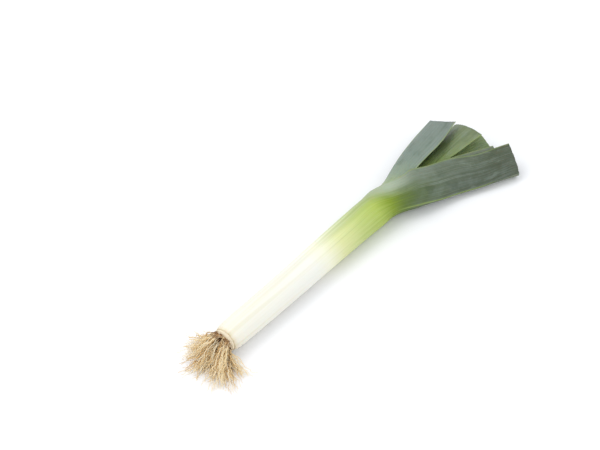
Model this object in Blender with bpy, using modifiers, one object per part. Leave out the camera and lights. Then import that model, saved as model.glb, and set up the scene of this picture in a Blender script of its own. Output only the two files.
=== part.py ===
"""A leek, lying on a flat surface: nested leaves, each a sheath that opens into a folded blade.

Metres, +Z up. The leek runs along +X, its root end at -X and its cut leaf ends at +X. The origin is in the
middle of its footprint, on the surface that it lies on.
"""

import math
from collections import namedtuple

import bmesh
import bpy
from mathutils import Vector

MM = 0.001

# Driving dimensions, in millimetres. "Along" is the distance from the root plate.
SHAFT_RADIUS = [(0, 14.6), (6, 16.8), (30, 17.6), (90, 17.9), (170, 18.6), (235, 19.3), (275, 19.9)]
SHAFT_LINE = [(0, 0, 0), (112, 109.5, 23), (176, 172, 37), (238, 233, 50), (277, 271.5, 56.5), (340, 334, 65)]
BELLY_RADIUS = 17.6  # the shaft rests on its belly from here on, and narrows to the root plate before it
SHEATH_WALL = 2.0
HEART_WALL = 6.4
BLADE_WALL = 1.5
GAP = 0.5  # between a sheath and the next one inside it
HALF_COLUMNS = 12  # facets on each half of a leaf
SHEATH_ROWS = [0, 6, 30, 90, 160, 215]
OPENING_ROWS = [0, 6, 12, 18, 24, 30]  # past the mouth, where a leaf opens
BLADE_STEP = 12.0  # between rows after that
TURN_LENGTH = 30.0  # from a mouth to where the blade heads its own way
PLATE_THICKNESS = 6.0

# One half of a leaf's cross-section, walked from the keel to the free margin: it sets off at `start` degrees
# from the keel's outward direction, ends at `end` degrees, and does most of its turning early where
# `early` is over 1. `width` is its length in millimetres.
Half = namedtuple("Half", "start end early width")
# A cross-section of a leaf: the keel's place in plan, the height of its lowest point and its two halves.
Section = namedtuple("Section", "along x y lift top under")
# A leaf: its place in the nest (0 is the outermost), which side its keel is on (-1 is -Y), where its sheath
# opens, how much further its margins reach than its keel at the cut end, and its sections past the mouth.
Leaf = namedtuple("Leaf", "name nest side mouth slant colour sections")

LEAVES = [
    Leaf("outer_front_leaf", 0, -1, 250, 0, (0.19, 0.27, 0.15), [
        Section(275, 272.2, 36.8, 0.0, Half(90, 206.5, 1.0, 41.3), Half(90, 206.5, 1.0, 41.3)),
        Section(304, 300.0, 29.8, 0.0, Half(96, 183, 1.6, 47), Half(97, 184, 1.8, 45)),
        Section(330, 326.0, 26.0, 0.0, Half(104, 178, 1.5, 46), Half(110, 183, 2.2, 40)),
        Section(356, 351.0, 22.8, 0.0, Half(110, 174, 1.4, 45), Half(118, 182, 2.6, 36)),
        Section(390, 384.0, 15.0, 0.0, Half(118, 168, 1.2, 39), Half(108, 183, 2.6, 31)),
        Section(430, 424.0, 7.4, 0.4, Half(122, 158, 1.2, 35.5), Half(58, 180, 1.7, 21)),
    ]),
    Leaf("outer_back_leaf", 1.14, 1, 259, 4, (0.27, 0.34, 0.29), [
        Section(282, 274.8, 76.1, 2.66, Half(90, 199, 1.0, 32.8), Half(90, 199, 1.0, 33.4)),
        Section(308, 297.4, 88.8, 2.6, Half(100, 181, 1.7, 37.6), Half(98, 181, 1.8, 39.6)),
        Section(336, 320.3, 100.5, 1.6, Half(117, 181, 1.5, 38.5), Half(102, 176, 1.6, 40)),
        Section(368, 349.3, 111.6, 1.0, Half(126, 174, 1.4, 43.5), Half(104, 164, 1.4, 37)),
        Section(404, 381.4, 122.6, 1.0, Half(138, 166, 1.3, 37), Half(106, 152, 1.3, 32)),
    ]),
    Leaf("second_front_leaf", 2.25, -1, 266, 0, (0.17, 0.26, 0.11), [
        Section(289, 285.5, 43.6, 5.12, Half(90, 196, 1.0, 27.05), Half(90, 198, 1.0, 27.05)),
        Section(308, 304.0, 38.0, 4.8, Half(100, 182, 1.8, 33), Half(98, 182, 1.8, 33)),
        Section(332, 328.0, 34.0, 3.4, Half(107, 181, 1.5, 38), Half(112, 184, 2.2, 32)),
        Section(358, 353.5, 30.5, 2.4, Half(114, 174, 1.3, 38), Half(120, 183, 2.6, 30)),
        Section(414, 409.0, 19.0, 2.6, Half(124, 163, 1.2, 33), Half(106, 181, 2.2, 25)),
    ]),
    Leaf("second_back_leaf", 3.26, 1, 276, -6, (0.26, 0.36, 0.15), [
        Section(297, 290.5, 71.8, 7.9, Half(90, 194, 1.0, 21.0), Half(90, 196, 1.0, 21.4)),
        Section(316, 309.0, 77.0, 7.2, Half(104, 184, 1.7, 26), Half(104, 182, 1.6, 24)),
        Section(344, 336.0, 83.5, 6.4, Half(124, 184, 1.4, 30), Half(120, 180, 1.6, 19)),
        Section(360, 352.0, 87.5, 5.6, Half(128, 184, 1.4, 29), Half(120, 176, 1.5, 23)),
        Section(380, 372.0, 93.0, 4.8, Half(127, 178, 1.3, 40), Half(120, 170, 1.4, 27)),
        Section(410, 402.0, 99.5, 4.0, Half(130, 175, 1.3, 47), Half(118, 162, 1.3, 30)),
    ]),
    Leaf("heart_leaf", 4.4, -1, 286, -4, (0.30, 0.42, 0.10), [
        Section(312, 308.0, 51.2, 10.2, Half(98, 200, 1.0, 16.6), Half(98, 200, 1.0, 16.6)),
        Section(344, 340.0, 46.5, 6.6, Half(122, 180, 1.4, 22), Half(124, 182, 1.8, 19)),
        Section(372, 368.0, 43.0, 5.4, Half(128, 176, 1.3, 27), Half(126, 180, 1.6, 21)),
        Section(420, 415.0, 38.0, 4.8, Half(132, 168, 1.2, 33), Half(128, 178, 1.6, 23)),
    ]),
]

# Bundles of roots: where each leaves the root plate (to the left and up from its middle), the way that it
# runs in plan (degrees to the left of straight out) and how far out it ends, lying on the surface.
Bundle = namedtuple("Bundle", "left up bearing reach")
BUNDLES = [
    Bundle(-9.2, -2.5, -76, 46),
    Bundle(-6.4, -7.0, -50, 53),
    Bundle(-6.2, 7.0, -30, 58),
    Bundle(0.4, -9.4, -11, 43),
    Bundle(0.0, 0.2, 6, 52),
    Bundle(3.6, 8.8, 24, 46),
    Bundle(7.4, -5.6, 46, 41),
    Bundle(9.4, 2.6, 74, 36),
]
BUNDLE_RADII = [(0.0, 2.4), (0.35, 3.1), (0.7, 2.4), (1.0, 0.9)]
BUNDLE_POINTS = 12


def between(keys, at):
    """A smooth value, or tuple of values, through keys of (place, value, ...)."""
    rows = [tuple(key) for key in keys]
    if at <= rows[0][0]:
        return rows[0][1:]
    if at >= rows[-1][0]:
        return rows[-1][1:]
    last = next(i for i, row in enumerate(rows) if row[0] >= at)
    low, high = rows[last - 1], rows[last]
    before = rows[last - 2] if last > 1 else low
    after = rows[last + 1] if last + 1 < len(rows) else high
    span = high[0] - low[0]
    t = (at - low[0]) / span
    values = []
    for i in range(1, len(low)):
        slope_low = (high[i] - before[i]) / (high[0] - before[0]) * span
        slope_high = (after[i] - low[i]) / (after[0] - low[0]) * span
        values.append(
            (2 * t**3 - 3 * t**2 + 1) * low[i]
            + (t**3 - 2 * t**2 + t) * slope_low
            + (3 * t**2 - 2 * t**3) * high[i]
            + (t**3 - t**2) * slope_high
        )
    return tuple(values)


def shaft_frame(along):
    """The shaft's middle in plan, and its unit heading, at a distance from the root plate."""
    x, y = between(SHAFT_LINE, along)
    before, after = between(SHAFT_LINE, along - 4), between(SHAFT_LINE, along + 4)
    heading = Vector((after[0] - before[0], after[1] - before[1])).normalized()
    return Vector((x, y)), heading


def sheath_section(leaf, along):
    """The ring that a leaf's sheath makes around the shaft's middle line."""
    step = leaf.nest * (SHEATH_WALL + GAP)
    outermost = between(SHAFT_RADIUS, along)[0]
    radius = outermost - step
    lift = step + max(0.0, BELLY_RADIUS - outermost)
    middle, heading = shaft_frame(along)
    keel = middle + Vector((-heading.y, heading.x)) * radius * leaf.side
    ring = Half(90, 270, 1.0, math.pi * radius)
    return Section(along, keel.x, keel.y, lift, ring, ring)


def flat(section):
    """A section as one tuple of numbers, for smoothing."""
    return (section.along, section.x, section.y, section.lift, *section.top, *section.under)


def leaf_keys(leaf):
    """All the sections of a leaf, from its base to its cut end."""
    rings = [sheath_section(leaf, along) for along in (*SHEATH_ROWS, leaf.mouth)]
    return [flat(section) for section in rings + list(leaf.sections)]


def walk_half(half, steps):
    """Points (outward, sideways) of one half of a cross-section, from the keel at (0, 0) to the margin."""
    start, end, early, width = half
    fine = 8
    points = [(0.0, 0.0)]
    out = side = 0.0
    for i in range(steps * fine):
        part = (i + 0.5) / (steps * fine)
        angle = math.radians(start + (end - start) * (1 - (1 - part) ** early))
        out += math.cos(angle) * width / (steps * fine)
        side += math.sin(angle) * width / (steps * fine)
        if (i + 1) % fine == 0:
            points.append((out, side))
    return points


def leaf_heading(leaf, keys, along):
    """The way a leaf runs in plan: along the shaft up to its mouth, and along its own keel past it."""
    shaft = shaft_frame(along)[1]
    before, after = between(keys, along - 3), between(keys, along + 3)
    own = Vector((after[0] - before[0], after[1] - before[1])).normalized()
    turned = min(1.0, max(0.0, (along - leaf.mouth) / TURN_LENGTH))
    return shaft.lerp(own, turned).normalized()


def leaf_row(leaf, keys, along):
    """One row of a leaf's outer surface, from the upper margin over the keel to the lower margin."""
    x, y, lift, *halves = between(keys, along)
    top = walk_half(halves[:4], HALF_COLUMNS)
    under = [(out, -side) for out, side in walk_half(halves[4:], HALF_COLUMNS)]
    outline = list(reversed(top)) + under[1:]
    heading = leaf_heading(leaf, keys, along)
    outward = Vector((-heading.y, heading.x)) * leaf.side
    lowest = min(side for _, side in outline)
    opened = max(0.0, (along - leaf.mouth) / (keys[-1][0] - leaf.mouth))
    row = []
    for i, (out, side) in enumerate(outline):
        ahead = leaf.slant * opened**2 * abs(i - HALF_COLUMNS) / HALF_COLUMNS
        place = Vector((x, y)) + outward * out + heading * ahead
        row.append(Vector((place.x, place.y, side - lowest + lift)) * MM)
    return row


def leaf_stations(leaf):
    """Where a leaf's rows lie: far apart on the straight sheath, close where it opens."""
    end = leaf.sections[-1].along
    opening = [leaf.mouth + row for row in OPENING_ROWS]
    count = math.ceil((end - opening[-1]) / BLADE_STEP)
    blade = [opening[-1] + (end - opening[-1]) * (i + 1) / count for i in range(count)]
    return [*SHEATH_ROWS, *opening, *blade]


def plant_material(name, colour, roughness):
    """A plain material in one colour."""
    material = bpy.data.materials.new(name)
    material.use_nodes = True
    shader = material.node_tree.nodes["Principled BSDF"]
    shader.inputs["Base Color"].default_value = (*colour, 1)
    shader.inputs["Roughness"].default_value = roughness
    material.diffuse_color = (*colour, 1)
    return material


def make_leaf(leaf, collection):
    """A leaf as an open surface, closed round the shaft up to its mouth, and given its wall by Solidify."""
    keys = leaf_keys(leaf)
    mesh = bpy.data.meshes.new(leaf.name)
    shape = bmesh.new()
    weights = shape.verts.layers.deform.verify()
    columns = 2 * HALF_COLUMNS + 1
    previous = None
    for along in leaf_stations(leaf):
        points = leaf_row(leaf, keys, along)
        thick = 1 - min(1.0, max(0.0, (along - leaf.mouth) / 50))
        closed = along <= leaf.mouth
        row = [shape.verts.new(point) for point in points[: columns - closed]]
        for vert in row:
            vert[weights][0] = thick
        if closed:
            row.append(row[0])
        if previous:
            for i in range(columns - 1):
                corners = (previous[i], previous[i + 1], row[i + 1], row[i])
                shape.faces.new(corners if leaf.side < 0 else corners[::-1])
        previous = row
    shape.to_mesh(mesh)
    shape.free()
    mesh.shade_smooth()
    mesh.materials.append(plant_material(leaf.name, leaf.colour, 0.45))
    thing = bpy.data.objects.new(leaf.name, mesh)
    thing.vertex_groups.new(name="wall")
    wall = thing.modifiers.new("wall", "SOLIDIFY")
    sheath_wall = HEART_WALL if leaf.name == "heart_leaf" else SHEATH_WALL
    wall.thickness = sheath_wall * MM
    wall.offset = -1
    wall.use_even_offset = True
    wall.vertex_group = "wall"
    wall.thickness_vertex_group = BLADE_WALL / sheath_wall
    collection.objects.link(thing)
    return thing


def plate_frame():
    """The middle of the root plate, and the unit vectors straight out of it, to its left and up."""
    middle, heading = shaft_frame(0)
    out = Vector((-heading.x, -heading.y, 0))
    return Vector((middle.x, middle.y, BELLY_RADIUS)), out, Vector((-heading.y, heading.x, 0)), Vector((0, 0, 1))


def make_plate(collection):
    """The root plate: a low turned cushion that closes the root end of the sheaths."""
    middle, out, _, _ = plate_frame()
    radius = between(SHAFT_RADIUS, 0)[0]
    rim = [(0.0, GAP), (0.9, GAP), (1.0, 1.6), (0.93, 3.6), (0.62, 5.4), (0.0, PLATE_THICKNESS)]
    mesh = bpy.data.meshes.new("root_plate")
    shape = bmesh.new()
    verts = [shape.verts.new((part * radius * MM, 0, height * MM)) for part, height in reversed(rim)]
    for low, high in zip(verts, verts[1:]):
        shape.edges.new((low, high))
    shape.to_mesh(mesh)
    shape.free()
    mesh.materials.append(plant_material("root_plate", (0.40, 0.25, 0.10), 0.8))
    plate = bpy.data.objects.new("root_plate", mesh)
    turn = plate.modifiers.new("turned", "SCREW")
    turn.steps = turn.render_steps = 20
    turn.use_merge_vertices = True
    turn.merge_threshold = 0.00001
    turn.use_smooth_shade = True
    plate.rotation_euler = out.to_track_quat("Z", "Y").to_euler()
    plate.location = middle * MM
    collection.objects.link(plate)
    return plate


def bundle_path(bundle):
    """The middle line of a bundle of roots: straight out of the plate, over and down onto the surface."""
    middle, out, left, up = plate_frame()
    start = middle + out * (PLATE_THICKNESS + GAP) + left * bundle.left + up * bundle.up
    bearing = math.radians(bundle.bearing)
    away = out * math.cos(bearing) + left * math.sin(bearing)
    end = middle + out * PLATE_THICKNESS + away * bundle.reach
    end.z = BUNDLE_RADII[-1][1] + 0.2
    lead = start + out * 10 + left * 0.9 * bundle.left + up * 0.5 * bundle.up
    settle = end - away * 20
    settle.z = BUNDLE_RADII[1][1] + 2.2
    path = []
    for i in range(BUNDLE_POINTS):
        t = i / (BUNDLE_POINTS - 1)
        point = (
            start * (1 - t) ** 3 + lead * 3 * t * (1 - t) ** 2 + settle * 3 * t**2 * (1 - t) + end * t**3
        )
        point.z = max(point.z, between(BUNDLE_RADII, t)[0] + 0.2)
        path.append(point)
    return path


def make_bundle(number, bundle, collection):
    """A bundle of roots as one tapering tube."""
    name = f"root_bundle_{number}"
    curve = bpy.data.curves.new(name, "CURVE")
    curve.dimensions = "3D"
    curve.bevel_depth = MM
    curve.bevel_resolution = 2
    curve.use_fill_caps = True
    spline = curve.splines.new("POLY")
    path = bundle_path(bundle)
    spline.points.add(len(path) - 1)
    for i, (point, place) in enumerate(zip(spline.points, path)):
        point.co = (*(place * MM), 1)
        point.radius = between(BUNDLE_RADII, i / (len(path) - 1))[0]
    curve.materials.append(plant_material(name, (0.62, 0.50, 0.30), 0.85))
    thing = bpy.data.objects.new(name, curve)
    collection.objects.link(thing)
    return thing


def centre_on_surface(things):
    """Moves everything so that the middle of the footprint is the origin and the lowest point is at 0."""
    bpy.context.view_layer.update()
    graph = bpy.context.evaluated_depsgraph_get()
    places = []
    for thing in things:
        shaped = thing.evaluated_get(graph)
        mesh = shaped.to_mesh()
        places += [thing.matrix_world @ vert.co for vert in mesh.vertices]
        shaped.to_mesh_clear()
    low = [min(place[axis] for place in places) for axis in range(3)]
    high = [max(place[axis] for place in places) for axis in range(3)]
    move = Vector((-(low[0] + high[0]) / 2, -(low[1] + high[1]) / 2, -low[2]))
    for thing in things:
        thing.location += move


def main():
    for old in list(bpy.data.objects):
        bpy.data.objects.remove(old, do_unlink=True)
    collection = bpy.data.collections.new("leek")
    bpy.context.scene.collection.children.link(collection)
    things = [make_plate(collection)]
    things += [make_bundle(i, bundle, collection) for i, bundle in enumerate(BUNDLES, 1)]
    things += [make_leaf(leaf, collection) for leaf in LEAVES]
    centre_on_surface(things)


main()
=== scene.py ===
"""A leek lying on a pale surface: nested leaves, a root plate and a tuft of thin roots.

Each leaf is a sheath that wraps the shaft and opens into a folded blade. A leaf is described by
cross-sections along its length, so its skin is one smooth surface from the root plate to the cut end.
Sizes are in millimetres until a mesh is made.
"""

import logging
import math
from dataclasses import dataclass, field
from enum import Enum

import bmesh
import bpy
import numpy as np
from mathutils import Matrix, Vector, noise


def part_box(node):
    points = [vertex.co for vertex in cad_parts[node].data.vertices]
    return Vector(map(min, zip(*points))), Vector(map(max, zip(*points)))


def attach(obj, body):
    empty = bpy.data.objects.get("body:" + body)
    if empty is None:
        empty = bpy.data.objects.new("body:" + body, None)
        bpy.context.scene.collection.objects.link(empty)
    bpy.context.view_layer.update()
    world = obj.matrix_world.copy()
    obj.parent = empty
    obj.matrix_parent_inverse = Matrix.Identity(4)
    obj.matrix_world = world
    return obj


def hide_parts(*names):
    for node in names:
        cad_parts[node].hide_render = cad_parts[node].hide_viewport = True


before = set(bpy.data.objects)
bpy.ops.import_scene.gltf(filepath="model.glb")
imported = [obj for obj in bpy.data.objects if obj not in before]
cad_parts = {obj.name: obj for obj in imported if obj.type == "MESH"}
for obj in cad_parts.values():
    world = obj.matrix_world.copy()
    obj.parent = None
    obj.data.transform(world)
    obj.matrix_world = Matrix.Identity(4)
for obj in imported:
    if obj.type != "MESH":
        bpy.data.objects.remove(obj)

MM = 0.001
FULL_LENGTH = 440.0  # the length that a leaf's surface coordinate runs over
CLEARANCE = 0.00005  # metres between the surface and the lowest points
SUNFLOWER_TURN = math.radians(137.508)
UP = Vector((0, 0, 1))
LOG = logging.getLogger("leek")

Tone = tuple[int, int, int]
Stops = tuple[tuple[float, Tone], ...]


class KeelSide(Enum):
    """The side of the leek that a leaf's keel is on."""

    FRONT = -1
    BACK = 1


def linear(tone: Tone) -> tuple[float, float, float, float]:
    """Turns a display colour into a linear one.

    Args:
        tone: Red, green and blue from 0 to 255.

    Returns:
        Linear red, green, blue and an alpha of 1.
    """
    parts = [value / 255 for value in tone]
    return (*(part / 12.92 if part <= 0.04045 else ((part + 0.055) / 1.055) ** 2.4 for part in parts), 1.0)


def ease(low: float, high: float, at: float) -> float:
    """Rises smoothly from 0 at low to 1 at high.

    Args:
        low: Where the rise starts.
        high: Where it ends.
        at: The place asked for.

    Returns:
        A share from 0 to 1.
    """
    part = min(1.0, max(0.0, (at - low) / (high - low)))
    return part * part * (3 - 2 * part)


def between(keys: list[tuple[float, ...]], at: float) -> tuple[float, ...]:
    """A smooth row of values through keys of (place, value, ...).

    Args:
        keys: The known rows, in order of place.
        at: The place asked for.

    Returns:
        The values at that place.
    """
    if at <= keys[0][0]:
        return keys[0][1:]
    if at >= keys[-1][0]:
        return keys[-1][1:]
    last = next(i for i, row in enumerate(keys) if row[0] >= at)
    low, high = keys[last - 1], keys[last]
    before = keys[last - 2] if last > 1 else low
    after = keys[last + 1] if last + 1 < len(keys) else high
    span = high[0] - low[0]
    t = (at - low[0]) / span
    values = []
    for i in range(1, len(low)):
        slope_low = (high[i] - before[i]) / (high[0] - before[0]) * span
        slope_high = (after[i] - low[i]) / (after[0] - low[0]) * span
        values.append(
            (2 * t**3 - 3 * t**2 + 1) * low[i]
            + (t**3 - 2 * t**2 + t) * slope_low
            + (3 * t**2 - 2 * t**3) * high[i]
            + (t**3 - t**2) * slope_high
        )
    return tuple(values)


# --------------------------------------------------------------------------------------------------------
# Node trees
# --------------------------------------------------------------------------------------------------------


class Bench:
    """A node tree being built, with short calls for its nodes and links."""

    def __init__(self, tree: bpy.types.NodeTree) -> None:
        """Starts on an empty tree."""
        self.tree = tree
        tree.nodes.clear()

    def node(self, kind: str, feeds: dict | None = None, **settings: object) -> bpy.types.Node:
        """Adds a node.

        Args:
            kind: The node's type.
            feeds: A value or an output socket for each named or numbered input.
            settings: The node's own properties.

        Returns:
            The new node.
        """
        made = self.tree.nodes.new(kind)
        for name, value in settings.items():
            setattr(made, name, value)
        for name, value in (feeds or {}).items():
            self.feed(made.inputs[name], value)
        return made

    def feed(self, socket: bpy.types.NodeSocket, value: object) -> None:
        """Links an output to an input, or sets the input's own value."""
        if isinstance(value, bpy.types.NodeSocket):
            self.tree.links.new(value, socket)
        else:
            socket.default_value = value

    def math(self, operation: str, *values: object) -> bpy.types.NodeSocket:
        """A sum on single numbers.

        Args:
            operation: The kind of sum.
            values: Its numbers or sockets, in order.

        Returns:
            The result's socket.
        """
        kind = "ShaderNodeMath"
        return self.node(kind, dict(enumerate(values)), operation=operation).outputs[0]

    def times(self, first: object, second: object) -> bpy.types.NodeSocket:
        """The product of two numbers."""
        return self.math("MULTIPLY", first, second)

    def plus(self, first: object, second: object) -> bpy.types.NodeSocket:
        """The sum of two numbers."""
        return self.math("ADD", first, second)

    def rise(self, value: object, low: float, high: float) -> bpy.types.NodeSocket:
        """A smooth rise from 0 at low to 1 at high.

        Args:
            value: The number that drives it.
            low: Where the rise starts.
            high: Where it ends. It falls instead if high is the lower.

        Returns:
            The result's socket.
        """
        feeds = {"Value": value, "From Min": low, "From Max": high, "To Min": 0.0, "To Max": 1.0}
        return self.node("ShaderNodeMapRange", feeds, interpolation_type="SMOOTHSTEP").outputs["Result"]

    def ramp(self, value: object, stops: Stops, full: float = 1.0) -> bpy.types.NodeSocket:
        """A run of colours.

        Args:
            value: Where on the run, from 0 to 1.
            stops: The place and display colour of each stop.
            full: The place that counts as 1.

        Returns:
            The colour's socket.
        """
        made = self.node("ShaderNodeValToRGB", {"Fac": value})
        elements = made.color_ramp.elements
        while len(elements) < len(stops):
            elements.new(1.0)
        for element, (place, tone) in zip(elements, stops):
            element.position = place / full
            element.color = linear(tone)
        return made.outputs["Color"]

    def mix(self, share: object, first: object, second: object, blend: str = "MIX") -> bpy.types.NodeSocket:
        """A mix of two colours.

        Args:
            share: How much of the second.
            first: The colour below.
            second: The colour above.
            blend: The way that they are mixed.

        Returns:
            The colour's socket.
        """
        made = self.node("ShaderNodeMix", data_type="RGBA", blend_type=blend, clamp_result=True)
        self.feed(made.inputs[0], share)
        self.feed(made.inputs[6], first)
        self.feed(made.inputs[7], second)
        return made.outputs[2]

    def paint(self, share: object, below: object, tone: Tone) -> bpy.types.NodeSocket:
        """Lays one display colour over another colour."""
        return self.mix(share, below, linear(tone))

    def tint(self, share: object, below: object, tone: Tone) -> bpy.types.NodeSocket:
        """Darkens a colour by multiplying it with a display colour."""
        return self.mix(share, below, self.mix(1.0, below, linear(tone), "MULTIPLY"))

    def emboss(self, shader: bpy.types.Node, height: object, strength: float, distance: float) -> None:
        """Gives a shader its relief.

        Args:
            shader: The shader node.
            height: The height's socket.
            strength: How strong the relief is, from 0 to 1.
            distance: How deep it is, in metres.
        """
        bump = self.node("ShaderNodeBump", {"Strength": strength, "Distance": distance, "Height": height})
        self.feed(shader.inputs["Normal"], bump.outputs[0])

    def vector(self, x: object, y: object, z: object) -> bpy.types.NodeSocket:
        """A vector of three numbers or sockets."""
        return self.node("ShaderNodeCombineXYZ", {0: x, 1: y, 2: z}).outputs[0]

    def vector_math(self, operation: str, *values: object, scale: object = None) -> bpy.types.NodeSocket:
        """A sum on vectors.

        Args:
            operation: The kind of sum.
            values: Its vectors, in order.
            scale: The number that a vector is scaled by.

        Returns:
            The result's socket.
        """
        made = self.node("ShaderNodeVectorMath", dict(enumerate(values)), operation=operation)
        if scale is not None:
            self.feed(made.inputs["Scale"], scale)
        return made.outputs[0]

    def noise(
        self, place: object, scale: float, detail: float = 2.0, roughness: float = 0.5
    ) -> bpy.types.Node:
        """A noise value from 0 to 1.

        Args:
            place: The coordinate that it is read at.
            scale: How many features there are to a unit.
            detail: How many finer layers it has.
            roughness: How strong those are.

        Returns:
            The noise node.
        """
        feeds = {"Vector": place, "Scale": scale, "Detail": detail, "Roughness": roughness}
        return self.node("ShaderNodeTexNoise", feeds)


def new_material(name: str) -> tuple[bpy.types.Material, Bench, bpy.types.Node]:
    """A material with an empty tree and its shader in place.

    Args:
        name: The material's name.

    Returns:
        The material, its bench and its shader node.
    """
    material = bpy.data.materials.new(name)
    material.use_nodes = True
    bench = Bench(material.node_tree)
    shader = bench.node("ShaderNodeBsdfPrincipled")
    bench.node("ShaderNodeOutputMaterial", {"Surface": shader.outputs["BSDF"]})
    return material, bench, shader


def place_object(name: str, data: bpy.types.ID) -> bpy.types.Object:
    """Puts a new object in the scene.

    Args:
        name: The object's name.
        data: Its mesh, curve, light or camera.

    Returns:
        The object.
    """
    made = bpy.data.objects.new(name, data)
    bpy.context.scene.collection.objects.link(made)
    return made


def plain_mesh(thing: bpy.types.Object, name: str) -> bpy.types.Object:
    """Turns an object's modifiers into plain geometry.

    Args:
        thing: The object, with its modifiers.
        name: The new object's name.

    Returns:
        A new object at the origin that holds the result. The old one is removed.
    """
    graph = bpy.context.evaluated_depsgraph_get()
    mesh = bpy.data.meshes.new_from_object(thing.evaluated_get(graph), depsgraph=graph)
    mesh.name = name
    bpy.data.objects.remove(thing)
    return place_object(name, mesh)


def grow(thing: bpy.types.Object, tree: bpy.types.NodeTree, values: dict[str, object]) -> None:
    """Puts a Geometry Nodes tree on an object.

    Args:
        thing: The object.
        tree: The tree.
        values: A value for each of the tree's named inputs.
    """
    modifier = thing.modifiers.new(tree.name, "NODES")
    modifier.node_group = tree
    sockets = {item.name: item.identifier for item in tree.interface.items_tree if item.in_out == "INPUT"}
    for name, value in values.items():
        modifier[sockets[name]] = value


def growth_tree(name: str, inputs: dict[str, str]) -> tuple[Bench, bpy.types.Node]:
    """An empty Geometry Nodes tree with its named inputs.

    Args:
        name: The tree's name.
        inputs: The socket type of each named input, after the geometry.

    Returns:
        The tree's bench and its input node.
    """
    tree = bpy.data.node_groups.new(name, "GeometryNodeTree")
    tree.interface.new_socket("Geometry", in_out="INPUT", socket_type="NodeSocketGeometry")
    for label, kind in inputs.items():
        tree.interface.new_socket(label, in_out="INPUT", socket_type=f"NodeSocket{kind}")
    tree.interface.new_socket("Geometry", in_out="OUTPUT", socket_type="NodeSocketGeometry")
    bench = Bench(tree)
    return bench, bench.node("NodeGroupInput")


def finish_tree(bench: Bench, shape: bpy.types.NodeSocket, material: bpy.types.NodeSocket) -> None:
    """Ends a Geometry Nodes tree with Realize Instances and Set Material.

    Args:
        bench: The tree's bench.
        shape: The geometry so far.
        material: The socket that gives the material.
    """
    real = bench.node("GeometryNodeRealizeInstances", {"Geometry": shape})
    dressed = bench.node("GeometryNodeSetMaterial", {"Geometry": real.outputs[0], "Material": material})
    bench.node("NodeGroupOutput", {0: dressed.outputs[0]})


# --------------------------------------------------------------------------------------------------------
# Finishes
# --------------------------------------------------------------------------------------------------------


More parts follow.
